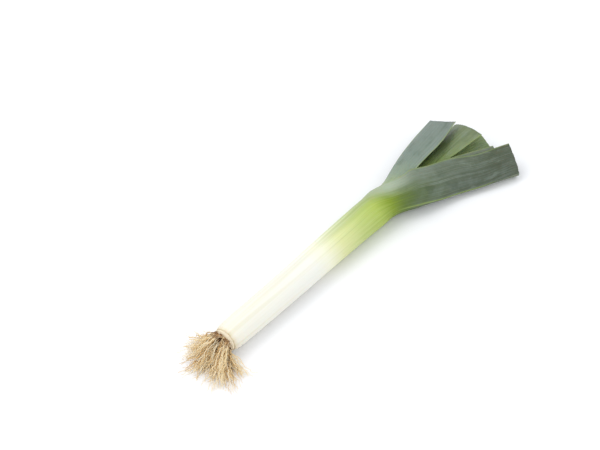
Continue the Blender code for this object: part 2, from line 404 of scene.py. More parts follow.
@dataclass(frozen=True)
class LeafFinish:
    """The skin of a leaf: pale where it was earthed up, then green, with fine veins and a waxy bloom."""

    name: str
    keel_tones: Stops
    margin_tones: Stops
    turned_tone: Tone = (122, 132, 108)
    edge_tone: Tone = (150, 172, 84)
    veins: float = 58.0
    seed: float = 0.0
    streak: float = 0.5

    def make(self) -> bpy.types.Material:
        """Builds the skin's material.

        Returns:
            The material.
        """
        material, bench, shader = new_material(self.name)
        place = bench.node("ShaderNodeUVMap", uv_map="leaf").outputs[0]
        parts = bench.node("ShaderNodeSeparateXYZ", {0: place})
        across, along = parts.outputs[0], parts.outputs[1]
        solid = bench.node("ShaderNodeTexCoord").outputs["Object"]
        drift = bench.noise(bench.vector(bench.times(across, 9.0), along, self.seed), 5.0, 3.0)
        wander = bench.math("SUBTRACT", drift.outputs["Fac"], 0.5)
        sway = bench.math("MULTIPLY_ADD", bench.rise(along, 0.1, 0.4), 0.036, 0.006)
        moved = bench.plus(along, bench.times(wander, sway))
        keel = bench.ramp(moved, self.keel_tones, FULL_LENGTH)
        margin = bench.ramp(moved, self.margin_tones, FULL_LENGTH)
        tilt = bench.plus(across, bench.times(wander, 0.12))
        colour = bench.mix(bench.rise(tilt, 0.30, 0.10), keel, margin)
        colour = self.streaks(bench, colour, across, along)
        colour = self.bloom(bench, colour, across, along, solid)
        colour = self.edges(bench, colour, across, along)
        bench.feed(shader.inputs["Base Color"], colour)
        self.relief(bench, shader, across, along, solid)
        shader.inputs["Specular IOR Level"].default_value = 0.42
        shader.inputs["Subsurface Weight"].default_value = 0.06
        shader.inputs["Subsurface Scale"].default_value = 0.004
        return material

    def streaks(self, bench: Bench, colour: object, across: object, along: object) -> bpy.types.NodeSocket:
        """Darkens and lightens the skin in fine lines along the leaf.

        Args:
            bench: The material's bench.
            colour: The colour below.
            across: The share of the leaf's width.
            along: The share of its length.

        Returns:
            The new colour's socket.
        """
        fine_place = bench.vector(bench.times(across, self.veins * 1.6), along, self.seed)
        fine = bench.noise(bench.vector_math("MULTIPLY", fine_place, (1.0, 2.2, 1.0)), 1.0, 3.0, 0.6)
        broad_place = bench.vector(bench.times(across, self.veins * 0.3), along, self.seed + 4.0)
        broad = bench.noise(bench.vector_math("MULTIPLY", broad_place, (1.0, 1.4, 1.0)), 1.0, 2.0, 0.5)
        green = bench.rise(along, 0.36, 0.66)
        amount = bench.math("MULTIPLY_ADD", green, 0.75, 0.25)
        turning = bench.times(bench.rise(along, 0.34, 0.44), bench.rise(along, 0.62, 0.50))
        amount = bench.plus(amount, bench.times(turning, 0.8))
        calm = bench.times(bench.rise(along, 0.52, 0.60), bench.rise(along, 0.78, 0.68))
        amount = bench.math("SUBTRACT", amount, bench.times(calm, 0.55))
        white = bench.rise(along, 0.44, 0.34)
        cream = bench.times(bench.rise(broad.outputs["Fac"], 0.42, 0.62), white)
        colour = bench.tint(bench.times(cream, 0.6), colour, (250, 247, 236))
        dark = bench.times(bench.rise(fine.outputs["Fac"], 0.52, 0.72), amount)
        dark = bench.times(dark, self.streak)
        colour = bench.tint(dark, colour, (196, 206, 186))
        light = bench.times(bench.rise(fine.outputs["Fac"], 0.46, 0.28), amount)
        light = bench.times(light, self.streak * 0.34)
        colour = bench.paint(light, colour, (222, 232, 208))
        shade = bench.times(bench.rise(broad.outputs["Fac"], 0.48, 0.70), 0.5)
        shade = bench.times(shade, amount)
        return bench.tint(shade, colour, (208, 216, 200))

    def bloom(
        self, bench: Bench, colour: object, across: object, along: object, solid: object
    ) -> bpy.types.NodeSocket:
        """Lays a cloudy, waxy bloom over the green part, thinner where it has been rubbed.

        Args:
            bench: The material's bench.
            colour: The colour below.
            across: The share of the leaf's width.
            along: The share of its length.
            solid: The coordinate in space.

        Returns:
            The new colour's socket.
        """
        cloud = bench.noise(solid, 60.0, 4.0, 0.6)
        smear = bench.noise(bench.vector(bench.times(across, 14.0), along, 3.0), 3.0, 3.0)
        both = bench.times(cloud.outputs["Fac"], smear.outputs["Fac"])
        amount = bench.times(bench.rise(both, 0.18, 0.42), bench.rise(along, 0.6, 0.74))
        colour = bench.paint(bench.times(amount, 0.35), colour, (120, 133, 125))
        patch_place = bench.vector(bench.times(across, 7.0), bench.times(along, 16.0), 8.0)
        patch = bench.noise(patch_place, 1.6, 4.0, 0.62).outputs["Fac"]
        dark = bench.times(bench.rise(patch, 0.50, 0.72), bench.rise(along, 0.55, 0.72))
        colour = bench.tint(bench.times(dark, 0.55), colour, (196, 206, 196))
        light = bench.times(bench.rise(patch, 0.46, 0.28), bench.rise(along, 0.62, 0.74))
        return bench.paint(bench.times(light, 0.30), colour, (132, 146, 136))

    def edges(self, bench: Bench, colour: object, across: object, along: object) -> bpy.types.NodeSocket:
        """Colours the thin margins, the keel's edge and the half that is turned under.

        Args:
            bench: The material's bench.
            colour: The colour below.
            across: The share of the leaf's width.
            along: The share of its length.

        Returns:
            The new colour's socket.
        """
        inward = bench.math("ABSOLUTE", bench.math("SUBTRACT", across, 0.5))
        green = bench.rise(along, 0.60, 0.66)
        turned = bench.times(bench.rise(across, 0.515, 0.56), bench.rise(along, 0.80, 0.95))
        colour = bench.paint(bench.times(turned, 0.7), colour, self.turned_tone)
        margin = bench.times(bench.rise(inward, 0.478, 0.494), green)
        colour = bench.paint(bench.times(margin, 0.35), colour, self.edge_tone)
        keel = bench.times(bench.rise(inward, 0.022, 0.006), green)
        keel = bench.times(keel, bench.rise(along, 0.93, 0.86))
        return bench.paint(bench.times(keel, 0.55), colour, self.edge_tone)

    def relief(self, bench: Bench, shader: object, across: object, along: object, solid: object) -> None:
        """Gives the skin its fine veins, pores and satin gloss.

        Args:
            bench: The material's bench.
            shader: The shader node.
            across: The share of the leaf's width.
            along: The share of its length.
            solid: The coordinate in space.
        """
        wave = bench.math("SINE", bench.times(across, self.veins * 2 * math.pi))
        strength = bench.math("MULTIPLY_ADD", bench.rise(along, 0.35, 0.7), 0.8, 0.2)
        veins = bench.times(wave, strength)
        thread_place = bench.vector(bench.times(across, self.veins * 3.0), along, self.seed)
        thread = bench.noise(bench.vector_math("MULTIPLY", thread_place, (1.0, 14.0, 1.0)), 1.0, 3.0)
        pores = bench.noise(solid, 900.0, 2.0)
        height = bench.plus(bench.times(veins, 0.5), thread.outputs["Fac"])
        height = bench.plus(height, bench.times(pores.outputs["Fac"], 0.35))
        bench.emboss(shader, height, 0.35, 0.00025)
        gloss = bench.math("MULTIPLY_ADD", thread.outputs["Fac"], 0.22, 0.36)
        bench.feed(shader.inputs["Roughness"], gloss)


@dataclass(frozen=True)
class CutFinish:
    """The moist flesh that shows in the thickness of a cut leaf."""

    name: str = "cut_leaf_flesh"
    tones: Stops = (
        (0, (170, 132, 84)), (12, (214, 190, 140)), (30, (244, 238, 214)), (230, (214, 222, 168)),
        (290, (150, 172, 92)), (360, (128, 148, 92)), (440, (120, 140, 90)),
    )

    def make(self) -> bpy.types.Material:
        """Builds the flesh's material.

        Returns:
            The material.
        """
        material, bench, shader = new_material(self.name)
        place = bench.node("ShaderNodeUVMap", uv_map="leaf").outputs[0]
        parts = bench.node("ShaderNodeSeparateXYZ", {0: place})
        solid = bench.node("ShaderNodeTexCoord").outputs["Object"]
        colour = bench.ramp(parts.outputs[1], self.tones, FULL_LENGTH)
        cells = bench.noise(solid, 1400.0, 2.0).outputs["Fac"]
        colour = bench.paint(bench.rise(cells, 0.5, 0.75), colour, (196, 206, 150))
        bench.feed(shader.inputs["Base Color"], colour)
        bench.emboss(shader, cells, 0.4, 0.0002)
        bench.feed(shader.inputs["Roughness"], bench.math("MULTIPLY_ADD", cells, 0.3, 0.25))
        return material


@dataclass(frozen=True)
class RootFinish:
    """Dry cream roots, browner near the plate and different from one root to the next."""

    name: str = "dry_root"
    tones: Stops = (
        (0.0, (210, 168, 108)), (0.25, (238, 210, 156)), (0.6, (249, 230, 188)), (1.0, (253, 243, 216)),
    )

    def make(self) -> bpy.types.Material:
        """Builds the roots' material.

        Returns:
            The material.
        """
        material, bench, shader = new_material(self.name)
        tone = bench.node("ShaderNodeAttribute", attribute_name="tone").outputs["Fac"]
        reach = bench.node("ShaderNodeAttribute", attribute_name="reach").outputs["Fac"]
        solid = bench.node("ShaderNodeTexCoord").outputs["Object"]
        colour = bench.ramp(tone, self.tones)
        colour = bench.paint(bench.rise(reach, 0.20, 0.0), colour, (168, 122, 70))
        soil = bench.noise(solid, 260.0, 3.0).outputs["Fac"]
        crumbs = bench.times(bench.rise(soil, 0.46, 0.56), bench.rise(reach, 0.26, 0.08))
        colour = bench.paint(bench.times(crumbs, 0.85), colour, (104, 62, 34))
        stain = bench.times(bench.rise(soil, 0.55, 0.75), 0.40)
        colour = bench.paint(stain, colour, (184, 140, 86))
        bench.feed(shader.inputs["Base Color"], colour)
        bench.feed(shader.inputs["Roughness"], bench.math("MULTIPLY_ADD", soil, 0.3, 0.55))
        bench.emboss(shader, bench.noise(solid, 1800.0, 2.0).outputs["Fac"], 0.5, 0.0002)
        return material


@dataclass(frozen=True)
class PlateFinish:
    """The corky root plate: tan, with dark-brown specks of old roots, and paler towards its rim."""

    centre: tuple[float, float, float]
    radius: float
    name: str = "corky_plate"
    tones: Stops = (
        (0.25, (124, 82, 44)), (0.42, (182, 138, 82)), (0.58, (214, 178, 120)), (0.8, (238, 214, 166)),
    )

    def make(self) -> bpy.types.Material:
        """Builds the plate's material.

        Returns:
            The material.
        """
        material, bench, shader = new_material(self.name)
        solid = bench.node("ShaderNodeTexCoord").outputs["Object"]
        broad = bench.noise(solid, 170.0, 4.0, 0.65).outputs["Fac"]
        colour = bench.ramp(broad, self.tones)
        specks = bench.node("ShaderNodeTexVoronoi", {"Vector": solid, "Scale": 520.0})
        dark = bench.rise(specks.outputs["Distance"], 0.34, 0.12)
        dark = bench.times(dark, bench.rise(broad, 0.62, 0.40))
        colour = bench.paint(dark, colour, (66, 42, 24))
        distance = bench.node("ShaderNodeVectorMath", {0: solid, 1: self.centre}, operation="DISTANCE")
        outward = bench.math("DIVIDE", distance.outputs["Value"], self.radius)
        outward = bench.plus(outward, bench.math("MULTIPLY_ADD", broad, 0.3, -0.15))
        colour = bench.paint(bench.times(bench.rise(outward, 0.70, 0.95), 0.85), colour, (236, 225, 200))
        bench.feed(shader.inputs["Base Color"], colour)
        bench.feed(shader.inputs["Roughness"], bench.math("MULTIPLY_ADD", broad, 0.3, 0.6))
        bench.emboss(shader, broad, 0.7, 0.0006)
        return material


@dataclass(frozen=True)
class FloorFinish:
    """A plain white studio surface."""

    name: str = "studio_white"

    def make(self) -> bpy.types.Material:
        """Builds the surface's material.

        Returns:
            The material.
        """
        material, _, shader = new_material(self.name)
        shader.inputs["Base Color"].default_value = (0.93, 0.93, 0.945, 1)
        shader.inputs["Roughness"].default_value = 0.8
        shader.inputs["Specular IOR Level"].default_value = 0.1
        return material


# --------------------------------------------------------------------------------------------------------
# The shaft's rule, shared by the leaves, the plate and the roots
# --------------------------------------------------------------------------------------------------------


@dataclass(frozen=True)
class Shaft:
    """The shaft: its middle line in plan, its radius along its length and the wall of each sheath."""

    radius: tuple[tuple[float, float], ...] = (
        (0, 14.6), (6, 16.8), (30, 17.6), (90, 17.9), (170, 18.6), (235, 19.3), (275, 19.9),
    )
    line: tuple[tuple[float, float, float], ...] = (
        (0, 0, 0), (112, 109.5, 23), (176, 172, 37), (238, 233, 50), (277, 271.5, 56.5), (340, 334, 65),
    )
    belly: float = 17.6
    sheath_wall: float = 2.0
    blade_wall: float = 1.5
    gap: float = 0.5

    def radius_at(self, along: float) -> float:
        """The radius at a distance from the root plate."""
        return between(list(self.radius), along)[0]

    def place_at(self, along: float) -> tuple[Vector, Vector]:
        """The shaft's middle in plan, and its unit heading.

        Args:
            along: The distance from the root plate.

        Returns:
            The middle and the heading, both in plan.
        """
        line = list(self.line)
        before, after = between(line, along - 4), between(line, along + 4)
        heading = Vector((after[0] - before[0], after[1] - before[1])).normalized()
        return Vector(between(line, along)), heading

    def root_end(self) -> tuple[Vector, Vector, Vector]:
        """The root end's place and directions.

        Returns:
            The root plate's middle, the way straight out of it and the way to its left.
        """
        middle, heading = self.place_at(0)
        out = Vector((-heading.x, -heading.y, 0))
        return Vector((middle.x, middle.y, self.belly)), out, Vector((-heading.y, heading.x, 0))


@dataclass(frozen=True)
class Half:
    """Half of a leaf's cross-section, walked from the keel to the free margin.

    It sets off at start degrees from the keel's outward direction and ends at end degrees. It does most
    of its turning early where early is over 1.
    """

    start: float
    end: float
    early: float
    width: float

    def walk(self, steps: int) -> np.ndarray:
        """Points (outward, sideways) from the keel at (0, 0) to the margin.

        Args:
            steps: How many parts the half is cut into.

        Returns:
            One row for each point.
        """
        fine = 6
        part = (np.arange(steps * fine) + 0.5) / (steps * fine)
        angle = np.radians(self.start + (self.end - self.start) * (1 - (1 - part) ** self.early))
        step = self.width / (steps * fine)
        out = np.concatenate([[0.0], np.cumsum(np.cos(angle)) * step])
        side = np.concatenate([[0.0], np.cumsum(np.sin(angle)) * step])
        return np.stack([out[::fine], side[::fine]], axis=1)

    def values(self) -> tuple[float, ...]:
        """The half as plain numbers, for smoothing."""
        return (self.start, self.end, self.early, self.width)


@dataclass(frozen=True)
class Section:
    """A leaf's cross-section: its keel's place in plan, the height of its lowest point and its halves."""

    along: float
    x: float
    y: float
    lift: float
    top: Half
    under: Half

    def values(self) -> tuple[float, ...]:
        """The section as one row of numbers, for smoothing."""
        return (self.along, self.x, self.y, self.lift, *self.top.values(), *self.under.values())


# --------------------------------------------------------------------------------------------------------
# Leaves
# --------------------------------------------------------------------------------------------------------


@dataclass
class Leaf:
    """One leaf: a sheath round the shaft that opens into a folded blade with a cut end."""

    name: str
    slot: str
    nest: float
    side: KeelSide
    mouth: float
    slant: float
    sections: tuple[Section, ...]
    finish: LeafFinish
    shaft: Shaft = field(default_factory=Shaft)
    wall: float = 2.0
    half_columns: int = 58
    sheath_step: float = 5.0
    blade_step: float = 2.0
    turn_length: float = 30.0
    nick: float = 0.35
    crown: float = 0.0
    cut_zone: float = 0.8
    papery: float = 10.0
    thinning: float = 50.0
    margin_wall: float = 0.25
    ribs: float = 24.0
    rib_height: float = 0.11
    ripple_height: float = 0.30
    ring_places: tuple[float, ...] = (0, 6, 30, 90, 160, 215)
    keys: list[tuple[float, ...]] = field(default_factory=list)

    def __post_init__(self) -> None:
        """Works out the smooth run of sections, sheath and blade together."""
        rings = [self.sheath_section(along) for along in (*self.ring_places, self.mouth)]
        self.keys = [section.values() for section in (*rings, *self.sections)]

    def sheath_section(self, along: float) -> Section:
        """The ring that the sheath makes round the shaft.

        Args:
            along: The distance from the root plate.

        Returns:
            The ring as a section.
        """
        step = self.nest * (self.shaft.sheath_wall + self.shaft.gap)
        outermost = self.shaft.radius_at(along)
        radius = outermost - step
        lift = step + max(0.0, self.shaft.belly - outermost)
        middle, heading = self.shaft.place_at(along)
        keel = middle + Vector((-heading.y, heading.x)) * radius * self.side.value
        ring = Half(90, 270, 1.0, math.pi * radius)
        return Section(along, keel.x, keel.y, lift, ring, ring)

    def heading(self, along: float) -> Vector:
        """The way that the leaf runs: along the shaft up to its mouth, and along its own keel past it.

        Args:
            along: The distance from the root plate.

        Returns:
            The unit heading in plan.
        """
        shaft = self.shaft.place_at(along)[1]
        before, after = between(self.keys, along - 3), between(self.keys, along + 3)
        own = Vector((after[0] - before[0], after[1] - before[1])).normalized()
        turned = min(1.0, max(0.0, (along - self.mouth) / self.turn_length))
        return shaft.lerp(own, turned).normalized()

    def row(self, along: float) -> list[Vector]:
        """One row of the outer surface, from the upper margin over the keel to the lower margin.

        Args:
            along: The distance from the root plate.

        Returns:
            The row's points.
        """
        x, y, lift, *halves = between(self.keys, along)
        top = Half(*halves[:4]).walk(self.half_columns)
        under = Half(*halves[4:]).walk(self.half_columns) * (1, -1)
        outline = np.concatenate([top[::-1], under[1:]])
        heading = self.heading(along)
        outward = Vector((-heading.y, heading.x)) * self.side.value
        opened = max(0.0, (along - self.mouth) / (self.keys[-1][0] - self.mouth))
        lowest = float(outline[:, 1].min())
        points = []
        for i, (out, side) in enumerate(outline):
            share = abs(i - self.half_columns) / self.half_columns
            ahead = self.slant * opened**2 * share + self.end_shift(i, opened) - self.base_shift(i, along)
            spot = Vector((x, y)) + outward * float(out) + heading * ahead
            points.append(Vector((spot.x, spot.y, float(side) - lowest + lift)))
        return points

    def end_shift(self, column: int, opened: float) -> float:
        """How far the knife's cut strays from straight at one column, near the cut end only.

        Args:
            column: The column, counted from the upper margin.
            opened: The share of the blade's length.

        Returns:
            The distance, towards the cut end.
        """
        if opened < self.cut_zone:
            return 0.0
        place = Vector((column * 0.16, self.nest * 9.1 + 2.0, 0.5))
        rough = noise.noise(place) + 0.5 * noise.noise(place * 3.7)
        share = abs(column - self.half_columns) / self.half_columns
        crown = self.crown * math.sin(math.pi * share)
        return (self.nick * rough - crown) * ease(self.cut_zone, 1.0, opened)

    def base_shift(self, column: int, along: float) -> float:
        """How far the papery lower edge of the sheath strays at one column.

        Args:
            column: The column, counted from the upper margin.
            along: The distance from the root plate.

        Returns:
            The distance, towards the roots.
        """
        if along > self.papery:
            return 0.0
        turn = column / self.half_columns * math.pi
        place = Vector((math.cos(turn), math.sin(turn), self.nest)) * 2.6
        rough = 0.6 * noise.noise(place) + 0.5 * noise.noise(place * 3.3)
        return rough * (1 - ease(0, self.papery, along))

    def stations(self) -> list[float]:
        """Where the rows lie: further apart on the straight sheath than on the blade.

        Returns:
            The rows' distances from the root plate, in order.
        """
        base, end = 8.0, self.sections[-1].along
        sheath = math.ceil((self.mouth - base) / self.sheath_step)
        blade = math.ceil((end - self.mouth) / self.blade_step)
        rows = [0.0, 1.5, 3.0, 5.0]
        rows += [base + (self.mouth - base) * i / sheath for i in range(sheath)]
        return rows + [self.mouth + (end - self.mouth) * i / blade for i in range(blade + 1)]

    def skin(self) -> bpy.types.Object:
        """The outer surface as an open mesh, closed round the shaft up to the mouth.

        Returns:
            The surface as an object, in the leek's own coordinates.
        """
        mesh = bpy.data.meshes.new(self.name)
        shape = bmesh.new()
        coordinates = shape.loops.layers.uv.new("leaf")
        weights = shape.verts.layers.deform.verify()
        layers = {key: shape.verts.layers.float.new(key) for key in ("share", "along")}
        columns = 2 * self.half_columns + 1
        before, before_along = None, 0.0
        for along in self.stations():
            points = self.row(along)
            closed = along <= self.mouth + 1e-6
            row = []
            for i, point in enumerate(points[: columns - closed]):
                vert = shape.verts.new(point)
                vert[weights][0] = self.thickness(i / (columns - 1), along)
                vert[layers["share"]] = i / (columns - 1)
                vert[layers["along"]] = along
                row.append(vert)
            if closed:
                row.append(row[0])
            if before:
                for i in range(columns - 1):
                    spots = [
                        (before[i], i, before_along), (before[i + 1], i + 1, before_along),
                        (row[i + 1], i + 1, along), (row[i], i, along),
                    ]
                    if self.side is KeelSide.BACK:
                        spots.reverse()
                    face = shape.faces.new([spot[0] for spot in spots])
                    face.smooth = True
                    for loop, (_, column, reach) in zip(face.loops, spots):
                        loop[coordinates].uv = (column / (columns - 1), reach / FULL_LENGTH)
            before, before_along = row, along
        shape.to_mesh(mesh)
        shape.free()
        thing = place_object(self.name + "_skin", mesh)
        thing.vertex_groups.new(name="wall")
        return thing

    def thickness(self, share: float, along: float) -> float:
        """The wall's weight: thick in the sheath, thin in the blade and thinnest at its margins.

        Args:
            share: The share of the leaf's width.
            along: The distance from the root plate.

        Returns:
            The weight, from 0 at the thinnest to 1 at the sheath's full wall.
        """
        thin = min(1.0, max(0.0, (along - self.mouth) / self.thinning))
        edge = ease(0.36, 0.5, abs(share - 0.5)) * ease(self.mouth, self.mouth + 30, along)
        blade = (self.shaft.blade_wall - 2 * self.margin_wall) / self.wall
        return (1 - thin) + thin * blade * (1 - 0.65 * edge)

    def make(self, ribs: bpy.types.NodeTree, cut: bpy.types.Material, shift: Vector) -> bpy.types.Object:
        """Builds and dresses the leaf.

        Args:
            ribs: The Geometry Nodes tree that raises the ribs.
            cut: The material of the wall's cut edges.
            shift: From the leaf's own coordinates to the row frame.

        Returns:
            The finished piece.
        """
        thing = self.skin()
        material = self.finish.make()
        grow(thing, ribs, {
            "Ribs": self.ribs, "Rib Height": self.rib_height, "Ripple Height": self.ripple_height,
            "Mouth": self.mouth, "Material": material,
        })
        wall = thing.modifiers.new("wall", "SOLIDIFY")
        wall.thickness = self.wall
        wall.offset = -1
        wall.vertex_group = "wall"
        wall.thickness_vertex_group = self.margin_wall / self.wall
        wall.material_offset_rim = 1
        thing.data.materials.append(material)
        thing.data.materials.append(cut)
        piece = plain_mesh(thing, self.name + "_blade")
        if len(piece.data.materials) < 2:
            piece.data.materials.append(cut)
        points = np.empty(len(piece.data.vertices) * 3, np.float32)
        piece.data.vertices.foreach_get("co", points)
        points = (points.reshape(-1, 3) + np.array(shift, np.float32)) * MM
        points[:, 2] = np.maximum(points[:, 2], CLEARANCE)
        piece.data.vertices.foreach_set("co", points.astype(np.float32).ravel())
        piece.data.update()
        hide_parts(self.name)
        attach(piece, "root")
        return piece


def rib_tree() -> bpy.types.NodeTree:
    """Builds the tree that raises ribs along a leaf and lets its blade ripple gently.

    Returns:
        The tree.
    """
    inputs = {
        "Ribs": "Float", "Rib Height": "Float", "Ripple Height": "Float", "Mouth": "Float",
        "Material": "Material",
    }
    bench, given = growth_tree("leaf_ribs", inputs)
    share, along = (
        bench.node("GeometryNodeInputNamedAttribute", {"Name": name}, data_type="FLOAT").outputs[0]
        for name in ("share", "along")
    )
    normal = bench.node("GeometryNodeInputNormal").outputs[0]
    place = bench.node("GeometryNodeInputPosition").outputs[0]
    turn = bench.times(bench.times(share, given.outputs["Ribs"]), 2 * math.pi)
    past = bench.math("SUBTRACT", along, given.outputs["Mouth"])
    blade = bench.rise(past, -60.0, 60.0)
    ripple_blade = bench.rise(past, 10.0, 90.0)
    rib_height, ripple_height = given.outputs["Rib Height"], given.outputs["Ripple Height"]
    height = bench.times(rib_height, bench.math("MULTIPLY_ADD", blade, 0.8, 0.2))
    rib = bench.times(bench.math("COSINE", turn), height)
    drift = bench.noise(place, 0.035, 2.0)
    wave = bench.math("SUBTRACT", drift.outputs["Fac"], 0.5)
    ripple = bench.times(bench.times(wave, 2.0), ripple_height)
    lift = bench.plus(rib, bench.times(ripple, ripple_blade))
    offset = bench.vector_math("SCALE", normal, scale=lift)
    moved = bench.node("GeometryNodeSetPosition", {"Geometry": given.outputs[0], "Offset": offset})
    finish_tree(bench, moved.outputs[0], given.outputs["Material"])
    return bench.tree


# --------------------------------------------------------------------------------------------------------
# Root plate and roots
# --------------------------------------------------------------------------------------------------------


@dataclass
class RootPlate:
    """The corky plate that closes the root end, with the stubs of old roots on it."""

    shaft: Shaft = field(default_factory=Shaft)
    profile: tuple[tuple[float, float], ...] = (
        (0.0, -2.0), (0.86, -2.0), (0.97, -0.6), (1.0, 1.6),
        (0.95, 3.3), (0.82, 4.6), (0.62, 5.4), (0.0, 6.0),
    )
    segments: int = 96
    rings: int = 40
    roughness: float = 0.7
    stubs: int = 170
    stub_zone: float = 0.97
    stub_depth: float = 0.3
    stub_length: float = 2.2
    stub_width: float = 0.55

    def make(self, shift: Vector) -> list[bpy.types.Object]:
        """Builds the plate and its stubs.

        Args:
            shift: From the leek's own coordinates to the row frame.

        Returns:
            The finished pieces.
        """
        centre = tuple(self.spot(0, 0, self.profile[-1][1] / 2, shift))
        material = PlateFinish(centre, self.shaft.radius_at(0) * MM).make()
        plate = self.cushion(material, shift)
        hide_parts("root_plate")
        stubs = self.old_roots(material, shift)
        for piece in (plate, stubs):
            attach(piece, "root")
        return [plate, stubs]

    def height_at(self, part: float) -> float:
        """The height of the outer face at a share of the plate's radius."""
        outer = [(1 - share, height) for share, height in self.profile[3:]]
        return between(outer, 1 - part)[0]

    def spot(self, part: float, turn: float, height: float, shift: Vector) -> Vector:
        """A point on the plate in metres.

        Args:
            part: The share of the plate's radius.
            turn: The angle round it.
            height: The height out of it.
            shift: From the leek's own coordinates to the row frame.

        Returns:
            The point in the row frame.
        """
        middle, out, left = self.shaft.root_end()
        radius = self.shaft.radius_at(0) * part
        place = middle + left * radius * math.cos(turn) + Vector((0, 0, radius * math.sin(turn)))
        return (place + out * height + shift) * MM

    def cushion(self, material: bpy.types.Material, shift: Vector) -> bpy.types.Object:
        """The plate itself, turned and then roughened.

        Args:
            material: The plate's material.
            shift: From the leek's own coordinates to the row frame.

        Returns:
            The plate as an object.
        """
        profile = [(i, *pair) for i, pair in enumerate(self.profile)]
        shape = bmesh.new()
        rows = []
        for i in range(self.rings + 1):
            part, height = between(profile, i / self.rings * (len(profile) - 1))
            if i in (0, self.rings):
                rows.append([shape.verts.new(self.spot(0, 0, height, shift))])
                continue
            row = []
            for j in range(self.segments):
                turn = 2 * math.pi * j / self.segments
                grain = Vector((part * math.cos(turn), part * math.sin(turn), height * 0.2)) * 5
                rough = (noise.noise(grain) + 0.6 * noise.noise(grain * 3.1)) * self.roughness
                outer = rough * ease(-1.0, 2.0, height)
                rim = max(0.01, part) + rough * 0.02 * ease(0.7, 1.0, part)
                row.append(shape.verts.new(self.spot(min(rim, 1.02), turn, height + outer, shift)))
            rows.append(row)
        for low, high in zip(rows, rows[1:]):
            for j in range(self.segments):
                k = (j + 1) % self.segments
                corners = [row[at % len(row)] for row, at in ((low, j), (low, k), (high, k), (high, j))]
                shape.faces.new(list(dict.fromkeys(corners))).smooth = True
        bmesh.ops.recalc_face_normals(shape, faces=shape.faces)
        mesh = bpy.data.meshes.new("root_plate_cork")
        shape.to_mesh(mesh)
        shape.free()
        mesh.materials.append(material)
        return place_object("root_plate_cork", mesh)

    def old_roots(self, material: bpy.types.Material, shift: Vector) -> bpy.types.Object:
        """Short stubs set over the plate's face in a sunflower's spiral.

        Args:
            material: The stubs' material.
            shift: From the leek's own coordinates to the row frame.

        Returns:
            The stubs as one object.
        """
        mesh = bpy.data.meshes.new("stub_places")
        places = []
        for i in range(self.stubs):
            part = self.stub_zone * math.sqrt((i + 0.5) / self.stubs)
            height = self.height_at(part) - self.stub_depth
            places.append(self.spot(part, i * SUNFLOWER_TURN, height, shift))
        mesh.from_pydata(places, [], [])
        holder = place_object("stub_places", mesh)
        _, out, _ = self.shaft.root_end()
        grow(holder, stub_tree(), {
            "Length": self.stub_length * MM, "Width": self.stub_width * MM, "Out": out, "Seed": 11,
            "Material": material,
        })
        return plain_mesh(holder, "old_root_stubs")


def stub_tree() -> bpy.types.NodeTree:
    """Builds the tree that sets a short tapering stub on every point, leaning a little its own way.

    Returns:
        The tree.
    """
    inputs = {"Length": "Float", "Width": "Float", "Out": "Vector", "Seed": "Int", "Material": "Material"}
    bench, given = growth_tree("root_stubs", inputs)
    width = given.outputs["Width"]
    cone = bench.node("GeometryNodeMeshCone", {
        "Vertices": 6, "Side Segments": 2, "Radius Bottom": width, "Radius Top": bench.times(width, 0.45),
        "Depth": given.outputs["Length"],
    })
    most = 0.55
    feeds = {0: (-most,) * 3, 1: (most,) * 3}
    lean = bench.node("FunctionNodeRandomValue", feeds, data_type="FLOAT_VECTOR")
    bench.feed(lean.inputs["Seed"], given.outputs["Seed"])
    way = bench.vector_math("ADD", given.outputs["Out"], lean.outputs[0])
    turned = bench.node("FunctionNodeAlignRotationToVector", {"Vector": way}, axis="Z")
    size = bench.node("FunctionNodeRandomValue", {2: 0.5, 3: 1.3}, data_type="FLOAT")
    bench.feed(size.inputs["Seed"], bench.plus(given.outputs["Seed"], 1))
    placed = bench.node("GeometryNodeInstanceOnPoints", {
        "Points": given.outputs[0], "Instance": cone.outputs["Mesh"], "Rotation": turned.outputs[0],
        "Scale": size.outputs[1],
    })
    finish_tree(bench, placed.outputs[0], given.outputs["Material"])
    return bench.tree


@dataclass(frozen=True)
class Bundle:
    """A bundle of roots: where it leaves the plate, its way in plan in degrees and how far out it ends."""

    left: float
    up: float
    bearing: float
    reach: float


